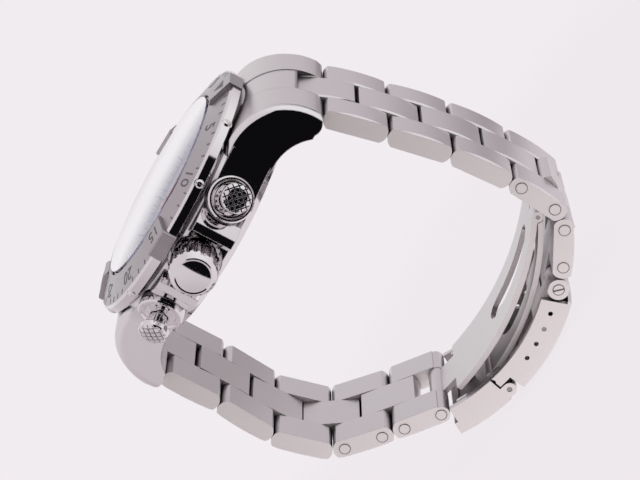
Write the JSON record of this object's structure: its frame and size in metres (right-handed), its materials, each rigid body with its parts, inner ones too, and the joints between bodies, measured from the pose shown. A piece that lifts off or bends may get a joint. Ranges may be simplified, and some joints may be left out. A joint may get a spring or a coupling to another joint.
{
  "type": "chronograph wristwatch",
  "caption": "Steel chronograph watch with a turning bezel, screw-set crown, domed pushers, three-row link bracelet and folding clasp with safety latch.",
  "frame": {"origin": "centre of the case back's outer face", "axes": "+Z out of the dial, +Y to 12 o'clock, +X to 3 o'clock and the crown; the bracelet hangs below in -Z"},
  "size_m": [0.0489, 0.0628, 0.069],
  "materials": {
    "brushed_case": "brushed",
    "polished_steel": "polished",
    "brushed_link": "brushed",
    "hidden_steel": "turned",
    "sapphire": "polished",
    "gasket": "satin",
    "dial_lacquer": "satin",
    "flange_lacquer": "satin",
    "hand_lacquer": "satin",
    "red_lacquer": "satin",
    "movement_brass": "plated",
    "spacer": "satin"
  },
  "bodies": {
    "case": {"case_middle": "brushed_case", "case_back": "polished_steel", "crystal": "sapphire", "crystal_gasket": "gasket", "crown_tube": "hidden_steel", "pusher_collars": "polished_steel", "end_pieces": "brushed_case", "spring_bars": "hidden_steel", "flange_ring": "flange_lacquer", "dial": "dial_lacquer", "hour_markers": "polished_steel", "movement_ring": "spacer", "main_plate": "movement_brass", "train_bridge": "hidden_steel"},
    "bezel": {"bezel": "polished_steel", "rider_tabs": "brushed_case"},
    "rotor": {"rotor": "hidden_steel"},
    "date_disc": {"date_disc": "dial_lacquer"},
    "winding": {"winding_pinion": "hidden_steel"},
    "crown": {"crown": "polished_steel", "winding_stem": "hidden_steel"},
    "pusher_2": {"pusher_2": "polished_steel"},
    "pusher_4": {"pusher_4": "polished_steel"},
    "hour_hand": {"hour_hand": "hand_lacquer"},
    "minute_hand": {"minute_hand": "hand_lacquer"},
    "chrono_seconds_hand": {"chrono_seconds_hand": "red_lacquer"},
    "small_seconds_hand": {"small_seconds_hand": "hand_lacquer"},
    "minute_counter_hand": {"minute_counter_hand": "hand_lacquer"},
    "hour_counter_hand": {"hour_counter_hand": "hand_lacquer"},
    "upper_centre_1": {"upper_centre_1": "brushed_link"},
    "upper_outer_1": {"upper_outer_1": "brushed_link"},
    "upper_centre_2": {"upper_centre_2": "brushed_link"},
    "upper_outer_2": {"upper_outer_2": "brushed_link"},
    "upper_centre_3": {"upper_centre_3": "brushed_link"},
    "upper_outer_3": {"upper_outer_3": "brushed_link"},
    "upper_centre_4": {"upper_centre_4": "brushed_link"},
    "upper_outer_4": {"upper_outer_4": "brushed_link"},
    "upper_centre_5": {"upper_centre_5": "brushed_link"},
    "upper_outer_5": {"upper_outer_5": "brushed_link"},
    "upper_centre_6": {"upper_centre_6": "brushed_link"},
    "clasp_end_link": {"clasp_end_link": "brushed_link", "clasp_spring_bar": "hidden_steel"},
    "clasp_cover": {"clasp_cover": "brushed_link", "latch_pin": "hidden_steel"},
    "safety_latch": {"safety_latch": "brushed_link"},
    "lower_centre_1": {"lower_centre_1": "brushed_link"},
    "lower_outer_1": {"lower_outer_1": "brushed_link"},
    "lower_centre_2": {"lower_centre_2": "brushed_link"},
    "lower_outer_2": {"lower_outer_2": "brushed_link"},
    "lower_centre_3": {"lower_centre_3": "brushed_link"},
    "lower_outer_3": {"lower_outer_3": "brushed_link"},
    "lower_centre_4": {"lower_centre_4": "brushed_link"},
    "lower_outer_4": {"lower_outer_4": "brushed_link"},
    "lower_centre_5": {"lower_centre_5": "brushed_link"},
    "lower_outer_5": {"lower_outer_5": "brushed_link"},
    "inner_blade": {"inner_blade": "brushed_link", "blade_pin": "hidden_steel"},
    "middle_blade": {"middle_blade": "brushed_link"}
  },
  "joints": [
    {"name": "bezel_turn", "type": "hinge", "parent": "case", "child": "bezel", "pos_m": [0, 0, 0.0115], "axis": [0, 0, 1], "continuous": true},
    {"name": "minute_hand_turn", "type": "hinge", "parent": "case", "child": "minute_hand", "pos_m": [0, 0, 0.0106], "axis": [0, 0, 1], "continuous": true},
    {"name": "hour_hand_turn", "type": "hinge", "parent": "case", "child": "hour_hand", "pos_m": [0, 0, 0.0101], "axis": [0, 0, 1], "continuous": true},
    {"name": "date_disc_turn", "type": "hinge", "parent": "case", "child": "date_disc", "pos_m": [0, 0, 0.009], "axis": [0, 0, 1], "continuous": true},
    {"name": "chrono_seconds_turn", "type": "hinge", "parent": "case", "child": "chrono_seconds_hand", "pos_m": [0, 0, 0.011], "axis": [0, 0, 1], "continuous": true},
    {"name": "minute_counter_turn", "type": "hinge", "parent": "case", "child": "minute_counter_hand", "pos_m": [0, 0.0076, 0.0098], "axis": [0, 0, 1], "continuous": true},
    {"name": "hour_counter_turn", "type": "hinge", "parent": "case", "child": "hour_counter_hand", "pos_m": [0, -0.0076, 0.0098], "axis": [0, 0, 1], "continuous": true},
    {"name": "small_seconds_turn", "type": "hinge", "parent": "case", "child": "small_seconds_hand", "pos_m": [-0.0076, 0, 0.0098], "axis": [0, 0, 1], "continuous": true},
    {"name": "rotor_turn", "type": "hinge", "parent": "case", "child": "rotor", "pos_m": [0, 0, 0.0028], "axis": [0, 0, 1], "continuous": true},
    {"name": "crown_turn", "type": "hinge", "parent": "case", "child": "winding", "pos_m": [0.0262, 0, 0.0057], "axis": [1, 0, 0], "continuous": true},
    {"name": "crown_pull", "type": "slide", "parent": "winding", "child": "crown", "axis": [1, 0, 0], "range_m": [0, 0.0016]},
    {"name": "pusher_2_press", "type": "slide", "parent": "case", "child": "pusher_2", "axis": [-0.866, -0.5, 0], "range_m": [0, 0.001], "stiffness_N_per_m": 2000},
    {"name": "pusher_4_press", "type": "slide", "parent": "case", "child": "pusher_4", "axis": [-0.866, 0.5, 0], "range_m": [0, 0.001], "stiffness_N_per_m": 2000},
    {"name": "upper_centre_1_pivot", "type": "hinge", "parent": "case", "child": "upper_centre_1", "pos_m": [0, 0.0258, 0], "axis": [1, 0, 0], "range_deg": [0, 9.95]},
    {"name": "upper_outer_1_pivot", "type": "hinge", "parent": "upper_centre_1", "child": "upper_outer_1", "pos_m": [0, 0.02743, -0.00365], "axis": [1, 0, 0], "range_deg": [0, 31.82]},
    {"name": "upper_centre_2_pivot", "type": "hinge", "parent": "upper_outer_1", "child": "upper_centre_2", "pos_m": [0, 0.02902, -0.01006], "axis": [1, 0, 0], "range_deg": [0, 26.49]},
    {"name": "upper_outer_2_pivot", "type": "hinge", "parent": "upper_centre_2", "child": "upper_outer_2", "pos_m": [0, 0.02979, -0.01398], "axis": [1, 0, 0], "range_deg": [0, 2.43]},
    {"name": "upper_centre_3_pivot", "type": "hinge", "parent": "upper_outer_2", "child": "upper_centre_3", "pos_m": [0, 0.03116, -0.02044], "axis": [1, 0, 0], "range_deg": [-22.6, 0]},
    {"name": "upper_outer_3_pivot", "type": "hinge", "parent": "upper_centre_3", "child": "upper_outer_3", "pos_m": [0, 0.03178, -0.02439], "axis": [1, 0, 0], "range_deg": [-22.9, 0]},
    {"name": "upper_centre_4_pivot", "type": "hinge", "parent": "upper_outer_3", "child": "upper_centre_4", "pos_m": [0, 0.03225, -0.03098], "axis": [1, 0, 0], "range_deg": [-4.57, 0]},
    {"name": "upper_outer_4_pivot", "type": "hinge", "parent": "upper_centre_4", "child": "upper_outer_4", "pos_m": [0, 0.03232, -0.03497], "axis": [1, 0, 0], "range_deg": [0, 23.74]},
    {"name": "upper_centre_5_pivot", "type": "hinge", "parent": "upper_outer_4", "child": "upper_centre_5", "pos_m": [0, 0.03185, -0.04156], "axis": [1, 0, 0], "range_deg": [0, 35.99]},
    {"name": "upper_outer_5_pivot", "type": "hinge", "parent": "upper_centre_5", "child": "upper_outer_5", "pos_m": [0, 0.02956, -0.04483], "axis": [1, 0, 0], "range_deg": [0, 21.93]},
    {"name": "upper_centre_6_pivot", "type": "hinge", "parent": "upper_outer_5", "child": "upper_centre_6", "pos_m": [0, 0.0239, -0.04823], "axis": [1, 0, 0], "range_deg": [-29.74, 0]},
    {"name": "clasp_end_link_pivot", "type": "hinge", "parent": "upper_centre_6", "child": "clasp_end_link", "pos_m": [0, 0.02019, -0.04973], "axis": [1, 0, 0], "range_deg": [-36, 0]},
    {"name": "clasp_cover_pivot", "type": "hinge", "parent": "clasp_end_link", "child": "clasp_cover", "pos_m": [0, 0.01301, -0.05152], "axis": [1, 0, 0], "range_deg": [-36.03, 0]},
    {"name": "latch_swing", "type": "hinge", "parent": "clasp_cover", "child": "safety_latch", "pos_m": [0, 0.00077, -0.0526], "axis": [1, 0, 0], "range_deg": [0, 80]},
    {"name": "lower_centre_1_pivot", "type": "hinge", "parent": "case", "child": "lower_centre_1", "pos_m": [0, -0.0258, 0], "axis": [1, 0, 0], "range_deg": [0, 14.46]},
    {"name": "lower_outer_1_pivot", "type": "hinge", "parent": "lower_centre_1", "child": "lower_outer_1", "pos_m": [0, -0.02587, -0.004], "axis": [1, 0, 0], "range_deg": [0, 4.38]},
    {"name": "lower_centre_2_pivot", "type": "hinge", "parent": "lower_outer_1", "child": "lower_centre_2", "pos_m": [0, -0.02587, -0.0106], "axis": [1, 0, 0], "range_deg": [-0.78513, 0]},
    {"name": "lower_outer_2_pivot", "type": "hinge", "parent": "lower_centre_2", "child": "lower_outer_2", "pos_m": [0, -0.02608, -0.01459], "axis": [1, 0, 0], "range_deg": [0, 0.57529]},
    {"name": "lower_centre_3_pivot", "type": "hinge", "parent": "lower_outer_2", "child": "lower_centre_3", "pos_m": [0, -0.02654, -0.02118], "axis": [1, 0, 0], "range_deg": [0, 9.95]},
    {"name": "lower_outer_3_pivot", "type": "hinge", "parent": "lower_centre_3", "child": "lower_outer_3", "pos_m": [0, -0.02654, -0.02518], "axis": [1, 0, 0], "range_deg": [0, 26.45]},
    {"name": "lower_centre_4_pivot", "type": "hinge", "parent": "lower_outer_3", "child": "lower_centre_4", "pos_m": [0, -0.02483, -0.03155], "axis": [1, 0, 0], "range_deg": [0, 29.72]},
    {"name": "lower_outer_4_pivot", "type": "hinge", "parent": "lower_centre_4", "child": "lower_outer_4", "pos_m": [0, -0.02254, -0.03483], "axis": [1, 0, 0], "range_deg": [0, 9.74]},
    {"name": "lower_centre_5_pivot", "type": "hinge", "parent": "lower_outer_4", "child": "lower_centre_5", "pos_m": [0, -0.01748, -0.03907], "axis": [1, 0, 0], "range_deg": [-22.09, 0]},
    {"name": "lower_outer_5_pivot", "type": "hinge", "parent": "lower_centre_5", "child": "lower_outer_5", "pos_m": [0, -0.01429, -0.04148], "axis": [1, 0, 0], "range_deg": [-35.99, 0]},
    {"name": "inner_blade_pivot", "type": "hinge", "parent": "lower_outer_5", "child": "inner_blade", "pos_m": [0, -0.00895, -0.04536], "axis": [1, 0, 0], "range_deg": [-36.01, 0]},
    {"name": "clasp_fold", "type": "hinge", "parent": "inner_blade", "child": "middle_blade", "pos_m": [0, 0.02851, -0.04072], "axis": [1, 0, 0], "range_deg": [0, 79]}
  ],
  "couplings": [
    {"joint": "hour_hand_turn", "follows": "minute_hand_turn", "ratio": 0.083333},
    {"joint": "date_disc_turn", "follows": "minute_hand_turn", "ratio": 0.0013441},
    {"joint": "minute_counter_turn", "follows": "chrono_seconds_turn", "ratio": 0.033333},
    {"joint": "hour_counter_turn", "follows": "chrono_seconds_turn", "ratio": 0.0013889},
    {"joint": "upper_centre_1_pivot", "follows": "clasp_fold", "ratio": 0.12472},
    {"joint": "upper_outer_1_pivot", "follows": "clasp_fold", "ratio": 0.39882},
    {"joint": "upper_centre_2_pivot", "follows": "clasp_fold", "ratio": 0.33204},
    {"joint": "upper_outer_2_pivot", "follows": "clasp_fold", "ratio": 0.03041},
    {"joint": "upper_centre_3_pivot", "follows": "clasp_fold", "ratio": -0.28326},
    {"joint": "upper_outer_3_pivot", "follows": "clasp_fold", "ratio": -0.28703},
    {"joint": "upper_centre_4_pivot", "follows": "clasp_fold", "ratio": -0.05724},
    {"joint": "upper_outer_4_pivot", "follows": "clasp_fold", "ratio": 0.29759},
    {"joint": "upper_centre_5_pivot", "follows": "clasp_fold", "ratio": 0.45101},
    {"joint": "upper_outer_5_pivot", "follows": "clasp_fold", "ratio": 0.27479},
    {"joint": "upper_centre_6_pivot", "follows": "clasp_fold", "ratio": -0.37267},
    {"joint": "clasp_end_link_pivot", "follows": "clasp_fold", "ratio": -0.45115},
    {"joint": "clasp_cover_pivot", "follows": "clasp_fold", "ratio": -0.45152},
    {"joint": "lower_centre_1_pivot", "follows": "clasp_fold", "ratio": 0.18121},
    {"joint": "lower_outer_1_pivot", "follows": "clasp_fold", "ratio": 0.05488},
    {"joint": "lower_centre_2_pivot", "follows": "clasp_fold", "ratio": -0.00984},
    {"joint": "lower_outer_2_pivot", "follows": "clasp_fold", "ratio": 0.00721},
    {"joint": "lower_centre_3_pivot", "follows": "clasp_fold", "ratio": 0.12467},
    {"joint": "lower_outer_3_pivot", "follows": "clasp_fold", "ratio": 0.33151},
    {"joint": "lower_centre_4_pivot", "follows": "clasp_fold", "ratio": 0.37248},
    {"joint": "lower_outer_4_pivot", "follows": "clasp_fold", "ratio": 0.12203},
    {"joint": "lower_centre_5_pivot", "follows": "clasp_fold", "ratio": -0.27679},
    {"joint": "lower_outer_5_pivot", "follows": "clasp_fold", "ratio": -0.45107},
    {"joint": "inner_blade_pivot", "follows": "clasp_fold", "ratio": -0.4513}
  ]
}
